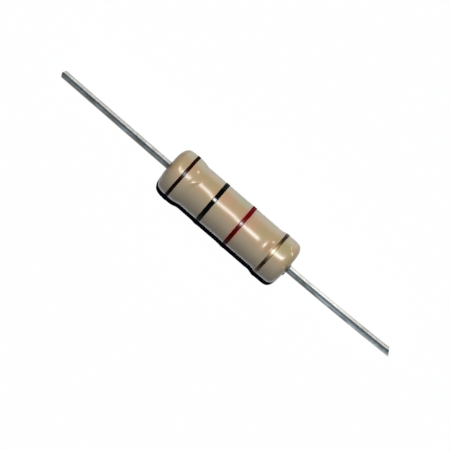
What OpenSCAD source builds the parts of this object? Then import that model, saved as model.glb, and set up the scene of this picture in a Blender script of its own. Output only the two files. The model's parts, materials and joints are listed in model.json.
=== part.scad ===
// Axial carbon-film resistor, 2 W size, four colour bands.
// X runs along the leads towards the gold band, Z is up, and the origin is the middle of the body.
// All sizes are in millimetres.

/* [Ceramic rod] */
// Length of the ceramic rod
rod_len = 14.4; // [12:0.1:20]
// Diameter of the ceramic rod
rod_d = 4.2; // [3:0.1:6]
// Rounding of the rod's end edges
rod_edge_r = 0.6; // [0.3:0.05:0.8]

/* [Carbon film] */
// Thickness of the carbon film, thicker than life so that it can be seen
film_t = 0.03; // [0.02:0.01:0.06]
// Turns of the spiral groove that sets the resistance
groove_turns = 5; // [2:0.5:8]
// Width of the groove, measured along the rod
groove_w = 0.35; // [0.2:0.05:0.6]
// Depth of the groove below the rod's surface
groove_depth = 0.05; // [0.03:0.01:0.1]
// Uncut film between the groove's end and the edge of each cap
groove_margin = 0.9; // [0.4:0.1:1.5]

/* [End caps] */
// Sheet thickness of the pressed steel caps
cap_t = 0.22; // [0.15:0.01:0.28]
// Length of filmed rod that each cap grips
cap_grip = 2; // [1.7:0.05:2.4]

/* [Leads] */
// Diameter of the tinned wire
lead_d = 0.78; // [0.5:0.01:1]
// Length of the left lead outside the coating
left_lead_len = 14; // [5:0.1:30]
// Length of the right lead outside the coating
right_lead_len = 13.2; // [5:0.1:30]
// Lean of the right lead towards +Y, in degrees
right_lead_lean = 1.4; // [0:0.1:3]
// Diameter of the weld that joins a lead to its cap
weld_d = 1.3; // [1.1:0.05:1.6]
// Height of that weld
weld_h = 0.2; // [0.1:0.01:0.28]
// Chamfer of a lead's cut end
tip_chamfer = 0.06; // [0.02:0.01:0.12]

/* [Coating] */
// Thickness of the lacquer on the film, at the waist
coat_on_film = 0.245; // [0.2:0.005:0.35]
// Thickness of the lacquer on the round of the caps
coat_on_cap = 0.2; // [0.12:0.01:0.35]
// Thickness of the lacquer on the end face of the caps
coat_on_end = 0.3; // [0.3:0.01:0.5]
// Length of the left end's rounding along the body
left_dome_len = 1.6; // [1.2:0.05:1.7]
// Squareness of the left end's rounding, where 2 is an ellipse
left_dome_power = 3.2; // [2.6:0.1:4.5]
// Length of the right end's rounding along the body
right_dome_len = 1.35; // [1.1:0.05:1.6]
// Squareness of the right end's rounding, where 2 is an ellipse
right_dome_power = 3.4; // [2.6:0.1:4.5]
// Length of the slope from each bulge to the waist
shoulder_len = 0.8; // [0.5:0.05:1]
// How far the middle of the left slope lies past the cap's edge
left_slump = 0.35; // [0:0.01:0.6]
// How far the middle of the right slope lies past the cap's edge
right_slump = 0.08; // [0:0.01:0.6]
// Radius of the lacquer's climb up the left lead
left_fillet_r = 0.2; // [0.1:0.01:0.5]
// Radius of the lacquer's climb up the right lead
right_fillet_r = 0.35; // [0.1:0.01:0.5]
// Thickness of the lacquer where that climb ends
fillet_lip = 0.04; // [0.04:0.01:0.1]

/* [Colour bands] */
// Thickness of the band paint
paint_t = 0.04; // [0.02:0.01:0.08]
// Middle of the brown band, from the left end of the body
brown_from_end = 1.67; // [1.6:0.01:2]
// Width of the brown band
brown_w = 0.33; // [0.2:0.01:0.6]
// Slant of the brown band, in degrees
brown_skew = 1.1; // [0:0.1:4]
// Middle of the black band, from the middle of the body
black_x = -2.13; // [-3:0.01:-1]
// Width of the black band
black_w = 0.45; // [0.2:0.01:0.8]
// Middle of the red band, from the middle of the body
red_x = 1.4; // [0.6:0.01:3]
// Width of the red band
red_w = 0.42; // [0.2:0.01:0.8]
// Middle of the gold band, from the right end of the body
gold_from_end = 2.19; // [1.9:0.01:2.6]
// Width of the gold band
gold_w = 0.35; // [0.2:0.01:0.6]
// Slant of the gold band, in degrees
gold_skew = 1.9; // [0:0.1:4]

/* [Hidden] */

round_steps = 64;     // facets round the body
edge_steps = 6;       // facets of a rounded edge
dome_steps = 12;      // facets from an end face to its bulge
shoulder_steps = 8;   // facets of a slope
fillet_steps = 4;     // facets of the lacquer's climb up a lead
groove_steps = 30;    // sections of the groove in one turn
groove_clear = 0.12;  // how far the groove's cutter stands out of the film
weld_rim = 0.05;      // height of the weld's upright rim
weld_root = 0.1;      // how far a lead is drawn below its cap's face before it is cut flush

rod_r = rod_d / 2;
film_r = rod_r + film_t;
cap_r = film_r + cap_t;
bulge_r = cap_r + coat_on_cap;
waist_r = film_r + coat_on_film;
lead_r = lead_d / 2;
weld_r = weld_d / 2;
exit_r = lead_r + fillet_lip;

rod_half = rod_len / 2;
film_half = rod_half + film_t;
cap_face = film_half + cap_t;
cap_edge = film_half - cap_grip;
body_half = cap_face + coat_on_end;
film_edge_r = rod_edge_r + film_t;
cap_corner_r = film_edge_r + cap_t;
brown_x = brown_from_end - body_half;
gold_x = body_half - gold_from_end;
beyond = 2 * body_half;  // longer and wider than any piece of the body

function reversed(points) = [for (i = [len(points) - 1 : -1 : 0]) points[i]];
function mirrored(points) = [for (p = points) [p[0], -p[1]]];
function eased(u) = u * u * (3 - 2 * u);

// Half of a round bar's outline with one rounded edge, as [radius, place], from the axis outwards
function rounded_end(radius, half, edge) = concat(
    [[0, half]],
    [for (i = [0 : edge_steps]) let (a = 90 * i / edge_steps)
        [radius - edge * (1 - sin(a)), half - edge * (1 - cos(a))]]);

function bar_outline(radius, half, edge) =
    concat(rounded_end(radius, half, edge), reversed(mirrored(rounded_end(radius, half, edge))));

// Half of the lacquer's outline: climb up the lead, end dome, bulge, and slope down to the waist
function coat_end(fillet, dome_len, power, slump) =
    let (start = asin(pow((exit_r + fillet) / bulge_r, power / 2)),
         slope_start = cap_edge - slump + shoulder_len / 2)
    concat(
        [[0, body_half + fillet]],
        [for (i = [0 : fillet_steps]) let (a = 90 * i / fillet_steps)
            [exit_r + fillet * (1 - cos(a)), body_half + fillet * (1 - sin(a))]],
        [for (i = [1 : dome_steps]) let (a = 90 - (90 - start) * (1 - i / dome_steps))
            [bulge_r * pow(sin(a), 2 / power), body_half - dome_len * (1 - pow(cos(a), 2 / power))]],
        [for (i = [0 : shoulder_steps]) let (u = i / shoulder_steps)
            [bulge_r - (bulge_r - waist_r) * eased(u), slope_start - shoulder_len * u]]);

left_coat_end = mirrored(coat_end(left_fillet_r, left_dome_len, left_dome_power, left_slump));
right_coat_end = coat_end(right_fillet_r, right_dome_len, right_dome_power, right_slump);
coat_outline = concat(right_coat_end, reversed(left_coat_end));

// Turns an outline of [radius, place] points about the X axis
module turned(outline) {
    rotate([0, 90, 0]) rotate_extrude($fn = round_steps) polygon(outline);
}

// The spiral groove's cutter: a square ribbon wound about the X axis between the caps
module groove_cutter() {
    first = -(cap_edge - groove_margin) + groove_w / 2;
    travel = -2 * first;
    sections = round(groove_turns * groove_steps);
    inner = rod_r - groove_depth;
    outer = film_r + groove_clear;
    corners = [[inner, -groove_w / 2], [inner, groove_w / 2], [outer, groove_w / 2], [outer, -groove_w / 2]];
    points = [for (i = [0 : sections], c = corners) let (a = 360 * i / groove_steps)
        [first + travel * i / sections + c[1], c[0] * cos(a), c[0] * sin(a)]];
    sides = [for (i = [0 : sections - 1], k = [0 : 3]) let (a = 4 * i + k, b = 4 * i + (k + 1) % 4)
        each [[a, a + 4, b], [b, a + 4, b + 4]]];
    last = 4 * sections;
    polyhedron(points, concat([[0, 1, 2, 3]], sides, [[last + 3, last + 2, last + 1, last]]));
}

// The rod with its film on, and the groove through both
module grooved_core() {
    difference() {
        turned(bar_outline(film_r, film_half, film_edge_r));
        groove_cutter();
    }
}

module ceramic_rod() {
    color("#ece7da") difference() {
        turned(bar_outline(rod_r, rod_half, rod_edge_r));
        groove_cutter();
    }
}

module carbon_film() {
    color("#2e2c2f") difference() {
        turned(bar_outline(film_r, film_half, film_edge_r));
        turned(bar_outline(rod_r, rod_half, rod_edge_r));
        groove_cutter();
    }
}

// A cap as a plug with no hollow, which is the room that it takes in the lacquer
module cap_plug() {
    turned(concat(rounded_end(cap_r, cap_face, cap_corner_r), [[cap_r, cap_edge], [0, cap_edge]]));
}

module cap() {
    turned(concat(
        rounded_end(cap_r, cap_face, cap_corner_r),
        [[cap_r, cap_edge], [film_r, cap_edge]],
        reversed(rounded_end(film_r, film_half, film_edge_r))));
}

module left_cap() {
    color("#c3c4c2") mirror([1, 0, 0]) cap();
}

module right_cap() {
    color("#c3c4c2") cap();
}

// A lead with its weld and its cut end, drawn a little below its cap's face
module lead_blank(length, lean) {
    tip = coat_on_end + length;
    translate([cap_face, 0, 0]) rotate([0, 0, lean])
        turned([[0, -weld_root], [weld_r, -weld_root], [weld_r, weld_rim], [lead_r, weld_h],
                [lead_r, tip - tip_chamfer], [lead_r - tip_chamfer, tip], [0, tip]]);
}

// The lean starts at the weld, whose foot is flat on the cap
module lead(length, lean) {
    difference() {
        lead_blank(length, lean);
        translate([cap_face - beyond, -beyond / 2, -beyond / 2]) cube(beyond);
    }
}

module left_lead() {
    color("#b6bcbe") mirror([1, 0, 0]) lead(left_lead_len, 0);
}

module right_lead() {
    color("#b6bcbe") lead(right_lead_len, right_lead_lean);
}

module coating() {
    color("#b39a7a") difference() {
        turned(coat_outline);
        grooved_core();
        cap_plug();
        mirror([1, 0, 0]) cap_plug();
        lead_blank(right_lead_len, right_lead_lean);
        mirror([1, 0, 0]) lead_blank(left_lead_len, 0);
    }
}

// The part of the lacquer's outline that paint can lie on, as a skin of the paint's thickness
module paint_skin() {
    under = [for (p = coat_outline) if (p[0] > bulge_r / 2) p];
    over = [for (p = under) [p[0] + paint_t, p[1]]];
    turned(concat(over, reversed(under)));
}

module band(place, width, skew) {
    intersection() {
        paint_skin();
        translate([place, 0, 0]) rotate([0, 0, -skew]) cube([width, beyond, beyond], center = true);
    }
}

module brown_band() {
    color("#431a0c") band(brown_x, brown_w, brown_skew);
}

module black_band() {
    color("#0c0a0c") band(black_x, black_w, 0);
}

module red_band() {
    color("#a01420") band(red_x, red_w, 0);
}

module gold_band() {
    color("#9a7440") band(gold_x, gold_w, gold_skew);
}

ceramic_rod();
carbon_film();
left_cap();
right_cap();
left_lead();
right_lead();
coating();
brown_band();
black_band();
red_band();
gold_band();
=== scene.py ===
"""Looks of an axial resistor: lacquered body, painted bands and tinned leads on a pale studio floor.

Lengths are in metres and angles in radians, in the part's own frame: +X runs along the leads towards
the gold band, +Z is up, and the origin is the middle of the body. A turn is an angle about the X axis,
from +Z towards +Y. The scale of a noise is in waves per metre, and a span is a pair of values between
which something fades from none to full.
"""

from __future__ import annotations

import json
import logging
import math
from bisect import bisect_left
from dataclasses import dataclass, field
from enum import Enum

import bmesh
import bpy
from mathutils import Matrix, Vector, noise


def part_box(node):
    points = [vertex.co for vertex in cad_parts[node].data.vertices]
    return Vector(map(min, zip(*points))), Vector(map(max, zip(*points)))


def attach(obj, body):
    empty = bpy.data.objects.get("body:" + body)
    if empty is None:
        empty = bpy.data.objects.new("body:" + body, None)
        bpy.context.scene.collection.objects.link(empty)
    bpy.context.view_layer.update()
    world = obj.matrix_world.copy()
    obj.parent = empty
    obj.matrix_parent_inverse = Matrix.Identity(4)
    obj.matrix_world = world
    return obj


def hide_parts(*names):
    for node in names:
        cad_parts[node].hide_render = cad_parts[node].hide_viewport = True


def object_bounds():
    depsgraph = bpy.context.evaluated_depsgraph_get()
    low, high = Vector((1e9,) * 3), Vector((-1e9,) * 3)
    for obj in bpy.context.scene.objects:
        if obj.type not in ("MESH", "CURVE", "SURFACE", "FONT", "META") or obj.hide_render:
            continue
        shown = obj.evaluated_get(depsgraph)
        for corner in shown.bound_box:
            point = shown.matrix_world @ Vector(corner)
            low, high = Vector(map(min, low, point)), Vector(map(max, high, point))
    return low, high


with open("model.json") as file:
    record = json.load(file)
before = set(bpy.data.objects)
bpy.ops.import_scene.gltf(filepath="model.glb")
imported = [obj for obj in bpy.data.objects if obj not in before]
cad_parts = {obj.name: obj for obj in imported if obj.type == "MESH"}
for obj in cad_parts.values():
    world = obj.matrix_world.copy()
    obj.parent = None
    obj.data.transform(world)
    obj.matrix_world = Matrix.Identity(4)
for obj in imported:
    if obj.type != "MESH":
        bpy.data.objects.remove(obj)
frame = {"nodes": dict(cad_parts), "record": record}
cad_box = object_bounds()

Colour = tuple[float, float, float, float]
Span = tuple[float, float]
Way = tuple[float, float, float]
Outline = list[tuple[float, float]]


def shade(red: float, green: float, blue: float) -> Colour:
    """An opaque colour."""
    return (red, green, blue, 1.0)


MM = 0.001
TAU = 2 * math.pi
BODY = "root"
TIN_T = 0.022 * MM  # tin on the drawn wire
CREST_Y = 0.3 * MM  # place across the body of the line that faces the key lamp
X_AXIS = Vector((1.0, 0.0, 0.0))
Y_AXIS = Vector((0.0, 1.0, 0.0))
WHITE = shade(1.0, 1.0, 1.0)
BLACK = shade(0.0, 0.0, 0.0)

log = logging.getLogger("resistor")


class Side(Enum):
    """The two ends of the resistor, as the sign of X."""

    LEFT = -1
    RIGHT = 1


def eased(share: float) -> float:
    """A smooth step from 0 to 1."""
    share = min(max(share, 0.0), 1.0)
    return share * share * (3 - 2 * share)


def fade(value: float, start: float, end: float) -> float:
    """A smooth step from 0 at start to 1 at end, where start may be the larger."""
    return eased((value - start) / (end - start))


def node_radius(node: str) -> float:
    """Largest distance from the X axis that a round CAD node reaches."""
    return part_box(node)[1].z


def mount(name: str) -> dict:
    """The record's mount of that name."""
    return next(m for m in frame["record"]["mounts"] if m["name"] == name)


def refined(outline: Outline, step: float) -> Outline:
    """Adds points to an outline so that no stretch is longer than a step.

    Args:
        outline: points of radius and place along X.
        step: longest stretch that is left.

    Returns:
        The outline with its own points kept and others between them.
    """
    fine = [outline[0]]
    for (r0, x0), (r1, x1) in zip(outline, outline[1:]):
        parts = max(1, math.ceil(math.hypot(r1 - r0, x1 - x0) / step))
        shares = [k / parts for k in range(1, parts + 1)]
        fine += [(r0 + (r1 - r0) * share, x0 + (x1 - x0) * share) for share in shares]
    return fine


def skinned(name: str, rings: list[list[Vector]], looped: bool, crease: float) -> bpy.types.Object:
    """Makes a closed mesh from rings of points.

    Args:
        name: name of the object and its mesh.
        rings: rings of equally many points, each joined to the next by a band of faces.
        looped: whether the last ring joins the first; otherwise a fan of triangles closes each end.
        crease: angle past which an edge is shaded sharp.

    Returns:
        The new object, linked to the scene.
    """
    count = len(rings[0])
    points = [p for ring in rings for p in ring]
    faces = []
    for k in range(0 if looped else 1, len(rings)):
        low, high = (k - 1) % len(rings) * count, k * count
        for i in range(count):
            after = (i + 1) % count
            faces.append((low + i, low + after, high + after, high + i))
    if not looped:
        for base, ring in ((0, rings[0]), (count * (len(rings) - 1), rings[-1])):
            points.append(sum(ring, Vector()) / count)
            faces += [(base + i, base + (i + 1) % count, len(points) - 1) for i in range(count)]
    mesh = bpy.data.meshes.new(name)
    mesh.from_pydata(points, [], faces)
    shape = bmesh.new()
    shape.from_mesh(mesh)
    bmesh.ops.recalc_face_normals(shape, faces=shape.faces)
    shape.to_mesh(mesh)
    shape.free()
    mesh.polygons.foreach_set("use_smooth", [True] * len(mesh.polygons))
    mesh.set_sharp_from_angle(angle=crease)
    piece = bpy.data.objects.new(name, mesh)
    bpy.context.scene.collection.objects.link(piece)
    return piece


class NodeSheet:
    """A node tree that is being drawn, with short calls for its nodes and wires."""

    def __init__(self, tree: bpy.types.NodeTree) -> None:
        """Takes an empty tree."""
        self.tree = tree

    def add(self, kind: str, inputs: dict | None = None, **settings: object) -> bpy.types.Node:
        """Places a node.

        Args:
            kind: the node's type name, without its ShaderNode prefix unless it is a group's own node.
            inputs: values or sockets for the node's inputs, by name or index.
            settings: the node's own attributes.

        Returns:
            The new node.
        """
        node = self.tree.nodes.new(kind if kind.startswith("NodeGroup") else "ShaderNode" + kind)
        for key, value in settings.items():
            setattr(node, key, value)
        self.feed(node, inputs or {})
        return node

    def feed(self, node: bpy.types.Node, inputs: dict) -> None:
        """Gives a node its inputs.

        Args:
            node: the node.
            inputs: sockets to link and plain values to set, by the input's name or index.
        """
        for key, value in inputs.items():
            if isinstance(value, bpy.types.NodeSocket):
                self.tree.links.new(value, node.inputs[key])
            else:
                node.inputs[key].default_value = value

    def place(self) -> bpy.types.NodeSocket:
        """The place on the part."""
        return self.add("TexCoord").outputs["Object"]

    def noise(self, place: object, scale: object, detail: float, **more: float) -> bpy.types.NodeSocket:
        """A noise over places, from 0 to 1."""
        inputs = {"Vector": place, "Scale": scale, "Detail": detail} | more
        return self.add("TexNoise", inputs).outputs[0]

    def math(self, operation: str, first: object, second: object = 0.0) -> bpy.types.NodeSocket:
        """One step of arithmetic on two numbers or sockets."""
        return self.add("Math", {0: first, 1: second}, operation=operation).outputs[0]

    def vector(self, operation: str, first: object, second: object = (0.0, 0.0, 0.0)) -> bpy.types.Node:
        """One step of arithmetic on two vectors or sockets."""
        return self.add("VectorMath", {0: first, 1: second}, operation=operation)

    def step(self, value: object, start: object, end: object, soft: bool = False) -> bpy.types.NodeSocket:
        """A step from 0 at start to 1 at end, straight or soft."""
        kind = "SMOOTHSTEP" if soft else "LINEAR"
        inputs = {"Value": value, "From Min": start, "From Max": end}
        return self.add("MapRange", inputs, interpolation_type=kind).outputs[0]

    def between(self, share: object, first: object, second: object) -> bpy.types.NodeSocket:
        """A value that goes from one number or socket to another as a share goes from 0 to 1."""
        return self.add("MapRange", {"Value": share, "To Min": first, "To Max": second}).outputs[0]

    def blend(self, share: object, first: object, second: object) -> bpy.types.NodeSocket:
        """Mixes two colours.

        Args:
            share: how much of the second colour there is, as a number or a socket.
            first: a colour or a socket.
            second: another.

        Returns:
            The mixed colour's socket.
        """
        node = self.add("Mix", data_type="RGBA")
        at = {socket.identifier: k for k, socket in enumerate(node.inputs)}
        self.feed(node, {at["Factor_Float"]: share, at["A_Color"]: first, at["B_Color"]: second})
        return next(s for s in node.outputs if s.identifier == "Result_Color")


class Effect(Enum):
    """The surface effects that several finishes share."""

    CLOUDS = "cloudy tint"
    GLOSS = "handled gloss"
    RELIEF = "flow and nibs"
    LINES = "fine lines"
    SIDE = "one side of the part"
    CORE = "close round the leads"
    APART = "away from a plane"
    # painted highlight: a small pale mark that stands in for a glint
    GLINT = "one pale scuff"


@dataclass(frozen=True)
class Mottle:
    """How two tints lie in clouds: their broad patches, the grain in them, and the grain's share."""

    patches: float
    grain: float
    grain_share: float = 0.3


@dataclass(frozen=True)
class Polish:
    """The roughness of a surface where it is clean and where it was handled, in patches."""

    clean: float
    handled: float
    patches: float = 900.0


@dataclass(frozen=True)
class Flow:
    """The soft ripple of a flowed surface, and the small nibs under it."""

    ripple: float
    nibs: float
    nib_height: float


@dataclass(frozen=True)
class FineLines:
    """Fine lines, drawn out along whichever way the stretch is smallest."""

    stretch: Way
    sharpness: float


class EffectKit:
    """The shared shader groups, each built when it is first asked for."""

    cloud_span: Span = (0.36, 0.64)
    handled_span: Span = (0.35, 0.7)
    nib_span: Span = (0.14, 0.02)
    side_patches: float = 700.0
    side_unevenness: float = 0.6 * MM

    def __init__(self) -> None:
        """Starts with no group built."""
        self._built: dict[Effect, bpy.types.NodeTree] = {}
        self._drawers = {
            Effect.CLOUDS: self._draw_clouds,
            Effect.GLOSS: self._draw_gloss,
            Effect.RELIEF: self._draw_relief,
            Effect.LINES: self._draw_lines,
            Effect.SIDE: self._draw_side,
            Effect.CORE: self._draw_core,
            Effect.APART: self._draw_apart,
            Effect.GLINT: self._draw_glint,
        }

    def place(self, sheet: NodeSheet, effect: Effect, inputs: dict) -> bpy.types.bpy_prop_collection:
        """Puts one effect into a material.

        Args:
            sheet: the material's sheet.
            effect: the effect.
            inputs: that material's own values, by name.

        Returns:
            The effect's outputs.
        """
        if effect not in self._built:
            tree = bpy.data.node_groups.new(effect.value, "ShaderNodeTree")
            self._drawers[effect](tree)
            self._built[effect] = tree
        return sheet.add("Group", inputs, node_tree=self._built[effect]).outputs

    def tint(self, sheet: NodeSheet, one: Colour, other: Colour, mottle: Mottle) -> bpy.types.NodeSocket:
        """Two tints, in clouds of each other."""
        inputs = {"Tint A": one, "Tint B": other, "Patches": mottle.patches, "Grain": mottle.grain}
        return self.place(sheet, Effect.CLOUDS, inputs | {"Grain Share": mottle.grain_share})["Color"]

    def gloss(self, sheet: NodeSheet, polish: Polish) -> bpy.types.NodeSocket:
        """The roughness of a surface that was handled in places."""
        inputs = {"Clean": polish.clean, "Handled": polish.handled, "Patches": polish.patches}
        return self.place(sheet, Effect.GLOSS, inputs)["Roughness"]

    def relief(self, sheet: NodeSheet, flow: Flow) -> bpy.types.NodeSocket:
        """The height of a flowed surface."""
        inputs = {"Ripple": flow.ripple, "Nibs": flow.nibs, "Nib Height": flow.nib_height}
        return self.place(sheet, Effect.RELIEF, inputs)["Height"]

    def lines(self, sheet: NodeSheet, lines: FineLines) -> bpy.types.bpy_prop_collection:
        """The mask and the height of fine lines."""
        inputs = {"Stretch": Vector(lines.stretch), "Sharpness": lines.sharpness}
        return self.place(sheet, Effect.LINES, inputs)

    def side(self, sheet: NodeSheet, span: Span) -> bpy.types.NodeSocket:
        """A mask that grows over a span of Y."""
        return self.place(sheet, Effect.SIDE, {"Start": span[0], "End": span[1]})["Mask"]

    def core(self, sheet: NodeSheet, span: Span) -> bpy.types.NodeSocket:
        """A mask that grows over a span of distance from the X axis."""
        return self.place(sheet, Effect.CORE, {"Start": span[0], "End": span[1]})["Mask"]

    def apart(self, sheet: NodeSheet, axis: Vector, middle: float, span: Span) -> bpy.types.NodeSocket:
        """A mask that grows over a span of distance from a plane across an axis."""
        inputs = {"Axis": axis, "Middle": middle, "Start": span[0], "End": span[1]}
        return self.place(sheet, Effect.APART, inputs)["Mask"]

    @staticmethod
    def _opened(tree: bpy.types.NodeTree, inputs: dict, *outputs: str) -> tuple[NodeSheet, dict]:
        """Gives a group its named sockets.

        Args:
            tree: the empty group.
            inputs: each input's first value, by name.
            outputs: names of the outputs, of which Color holds a colour and the others hold numbers.

        Returns:
            A sheet to draw the group on, and the group's inputs as sockets.
        """
        kinds = {float: "NodeSocketFloat", tuple: "NodeSocketColor", Vector: "NodeSocketVector"}
        for name, value in inputs.items():
            made = tree.interface.new_socket(name, in_out="INPUT", socket_type=kinds[type(value)])
            made.default_value = value
        for name in outputs:
            kind = "NodeSocketColor" if name == "Color" else "NodeSocketFloat"
            tree.interface.new_socket(name, in_out="OUTPUT", socket_type=kind)
        sheet = NodeSheet(tree)
        return sheet, sheet.add("NodeGroupInput").outputs

    def _draw_clouds(self, tree: bpy.types.NodeTree) -> None:
        """Draws soft patches of two tints, with a finer grain of the same two inside them.

        Args:
            tree: the empty group.
        """
        inputs = {"Tint A": WHITE, "Tint B": WHITE, "Patches": 400.0, "Grain": 4000.0, "Grain Share": 0.3}
        sheet, given = self._opened(tree, inputs, "Color", "Mask")
        place = sheet.place()
        broad = sheet.noise(place, given["Patches"], 2.0)
        fine = sheet.noise(place, given["Grain"], 3.0)
        grain = sheet.math("MULTIPLY", fine, given["Grain Share"])
        patches = sheet.math("MULTIPLY", broad, sheet.math("SUBTRACT", 1.0, given["Grain Share"]))
        mask = sheet.step(sheet.math("ADD", grain, patches), *self.cloud_span)
        colour = sheet.blend(mask, given["Tint A"], given["Tint B"])
        sheet.add("NodeGroupOutput", {"Color": colour, "Mask": mask})

    def _draw_gloss(self, tree: bpy.types.NodeTree) -> None:
        """Draws a roughness that wanders between a clean and a handled value.

        Args:
            tree: the empty group.
        """
        inputs = {"Clean": 0.1, "Handled": 0.2, "Patches": 900.0}
        sheet, given = self._opened(tree, inputs, "Roughness", "Mask")
        mask = sheet.step(sheet.noise(sheet.place(), given["Patches"], 4.0), *self.handled_span)
        value = sheet.between(mask, given["Clean"], given["Handled"])
        sheet.add("NodeGroupOutput", {"Roughness": value, "Mask": mask})

    def _draw_relief(self, tree: bpy.types.NodeTree) -> None:
        """Draws the height of a flowed surface: its soft ripple, and a few small nibs under it.

        Args:
            tree: the empty group.
        """
        sheet, given = self._opened(tree, {"Ripple": 1500.0, "Nibs": 1200.0, "Nib Height": 0.5}, "Height")
        place = sheet.place()
        ripple = sheet.noise(place, given["Ripple"], 1.5)
        cells = sheet.add("TexVoronoi", {"Vector": place, "Scale": given["Nibs"], "Randomness": 1.0})
        nib = sheet.step(cells.outputs["Distance"], *self.nib_span, soft=True)
        height = sheet.math("ADD", ripple, sheet.math("MULTIPLY", nib, given["Nib Height"]))
        sheet.add("NodeGroupOutput", {"Height": height})

    def _draw_lines(self, tree: bpy.types.NodeTree) -> None:
        """Draws fine lines, drawn out along whichever way the stretch is smallest.

        Args:
            tree: the empty group.
        """
        inputs = {"Stretch": Vector((1.0, 1.0, 1.0)), "Sharpness": 0.2}
        sheet, given = self._opened(tree, inputs, "Mask", "Height")
        drawn = sheet.vector("MULTIPLY", sheet.place(), given["Stretch"]).outputs[0]
        lines = sheet.noise(drawn, 1.0, 5.0, Roughness=0.6)
        low = sheet.math("SUBTRACT", 0.5, given["Sharpness"])
        high = sheet.math("ADD", 0.5, given["Sharpness"])
        sheet.add("NodeGroupOutput", {"Mask": sheet.step(lines, low, high), "Height": lines})

    def _draw_side(self, tree: bpy.types.NodeTree) -> None:
        """Draws a soft mask, a little uneven, that grows across the part from one Y to another.

        Args:
            tree: the empty group.
        """
        sheet, given = self._opened(tree, {"Start": 1.0 * MM, "End": -1.0 * MM}, "Mask")
        place = sheet.place()
        across = sheet.add("SeparateXYZ", {0: place}).outputs["Y"]
        patches = sheet.math("SUBTRACT", sheet.noise(place, self.side_patches, 2.0), 0.5)
        across = sheet.math("ADD", across, sheet.math("MULTIPLY", patches, self.side_unevenness))
        mask = sheet.step(across, given["Start"], given["End"], soft=True)
        sheet.add("NodeGroupOutput", {"Mask": mask})

    def _draw_core(self, tree: bpy.types.NodeTree) -> None:
        """Draws a soft mask that grows towards the X axis, from one distance to another.

        Args:
            tree: the empty group.
        """
        sheet, given = self._opened(tree, {"Start": 1.0 * MM, "End": 0.5 * MM}, "Mask")
        flat = sheet.vector("MULTIPLY", sheet.place(), (0.0, 1.0, 1.0)).outputs[0]
        away = sheet.vector("LENGTH", flat).outputs["Value"]
        mask = sheet.step(away, given["Start"], given["End"], soft=True)
        sheet.add("NodeGroupOutput", {"Mask": mask})

    def _draw_apart(self, tree: bpy.types.NodeTree) -> None:
        """Draws a soft mask that grows with the distance from a plane across one axis.

        Args:
            tree: the empty group.
        """
        inputs = {"Axis": Y_AXIS.copy(), "Middle": 0.0, "Start": 1.0 * MM, "End": 1.5 * MM}
        sheet, given = self._opened(tree, inputs, "Mask")
        along = sheet.vector("DOT_PRODUCT", sheet.place(), given["Axis"]).outputs["Value"]
        away = sheet.math("ABSOLUTE", sheet.math("SUBTRACT", along, given["Middle"]))
        mask = sheet.step(away, given["Start"], given["End"], soft=True)
        sheet.add("NodeGroupOutput", {"Mask": mask})

    def _draw_glint(self, tree: bpy.types.NodeTree) -> None:
        """Draws a small soft mark round a point, drawn out along a way across the surface.

        Args:
            tree: the empty group.
        """
        inputs = {"Point": Vector(), "Way": X_AXIS.copy(), "Length": 0.3 * MM, "Width": 0.1 * MM}
        sheet, given = self._opened(tree, inputs, "Mask")
        off = sheet.vector("SUBTRACT", sheet.place(), given["Point"]).outputs[0]
        along = sheet.vector("DOT_PRODUCT", off, given["Way"]).outputs["Value"]
        away = sheet.vector("LENGTH", off).outputs["Value"]
        squares = [sheet.math("MULTIPLY", length, length) for length in (away, along)]
        across = sheet.math("SQRT", sheet.math("MAXIMUM", sheet.math("SUBTRACT", *squares), 0.0))
        shares = (
            sheet.math("DIVIDE", along, given["Length"]),
            sheet.math("DIVIDE", across, given["Width"]),
        )
        reach = sheet.math("ADD", *[sheet.math("POWER", share, 2.0) for share in shares])
        sheet.add("NodeGroupOutput", {"Mask": sheet.step(reach, 1.0, 0.0, soft=True)})


def new_material(name: str) -> tuple[bpy.types.Material, NodeSheet, bpy.types.Node]:
    """Makes an empty material.

    Args:
        name: the material's name.

    Returns:
        The material, its sheet, and its one principled shader, wired to the output.
    """
    material = bpy.data.materials.new(name)
    material.use_nodes = True
    material.node_tree.nodes.clear()
    sheet = NodeSheet(material.node_tree)
    shader = sheet.add("BsdfPrincipled")
    sheet.add("OutputMaterial", {"Surface": shader.outputs[0]})
    return material, sheet, shader


def raised(sheet: NodeSheet, height: bpy.types.NodeSocket, depth: float) -> bpy.types.NodeSocket:
    """The normal of a surface with a height on it, through one bump node of that depth."""
    return sheet.add("Bump", {"Height": height, "Distance": depth, "Strength": 1.0}).outputs[0]


@dataclass(frozen=True)
class PaintedGlint:
    """A painted highlight on the lacquer: a small pale mark where a glint would be."""

    x: float
    turn: float
    radius: float
    way: Way
    length: float
    width: float
    share: float

    @property
    def point(self) -> Vector:
        """Its middle."""
        return Vector((self.x, self.radius * math.sin(self.turn), self.radius * math.cos(self.turn)))

    def mask(self, effects: EffectKit, sheet: NodeSheet) -> bpy.types.NodeSocket:
        """How much of it shows at a place."""
        inputs = {"Point": self.point, "Way": Vector(self.way), "Length": self.length, "Width": self.width}
        return sheet.math("MULTIPLY", effects.place(sheet, Effect.GLINT, inputs)["Mask"], self.share)


def painted_glint(
    x: float, degrees: float, radius: float, way: Way, length: float, width: float, share: float
) -> PaintedGlint:
    """A painted highlight whose lengths are given in millimetres and whose turn is in degrees."""
    return PaintedGlint(x * MM, math.radians(degrees), radius * MM, way, length * MM, width * MM, share)


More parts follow.
